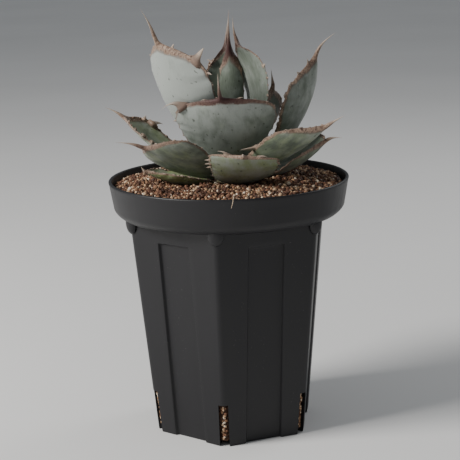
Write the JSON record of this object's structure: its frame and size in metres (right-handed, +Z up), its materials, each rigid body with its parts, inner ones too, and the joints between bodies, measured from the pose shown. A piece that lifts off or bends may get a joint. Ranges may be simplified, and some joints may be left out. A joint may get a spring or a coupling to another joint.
{
  "type": "potted agave",
  "caption": "Rosette agave with broad toothed leaves and long end spines, growing in a gritty mix in a tall black slit pot with a round collar and a six-sided tapering body",
  "frame": {"origin": "middle of the pot's flat underside, on the pot's axis", "axes": "+Z up along the pot's axis, -Y toward the front, the side with the broad front leaf, and +X to the right as seen from the front"},
  "size_m": [0.1202, 0.1196, 0.2141],
  "materials": {
    "pot": "matte black moulded plastic",
    "mix": "loose tan, cream and reddish-brown grains",
    "crown": "rough bark",
    "leaf": "waxy grey-green skin with tan horny margins",
    "young_leaf": "smooth pale skin with a dark tip",
    "low_leaf": "pale yellow-green skin"
  },
  "bodies": {
    "root": {"slit_pot": "pot", "potting_mix": "mix", "root_crown": "crown", "bud_cone": "young_leaf", "leaf_inner_right": "leaf", "leaf_inner_back": "leaf", "leaf_upper_left": "leaf", "leaf_upper_right": "leaf", "leaf_back_high": "leaf", "leaf_front": "leaf", "leaf_back_mid": "leaf", "leaf_mid_right": "leaf", "leaf_mid_left": "leaf", "leaf_low_right": "leaf", "leaf_back_low": "leaf", "leaf_lower_left": "leaf", "leaf_back_right": "leaf", "leaf_under_right": "leaf", "leaf_base_left": "low_leaf", "leaf_base_front": "low_leaf", "leaf_back_left": "leaf"}
  },
  "joints": []
}
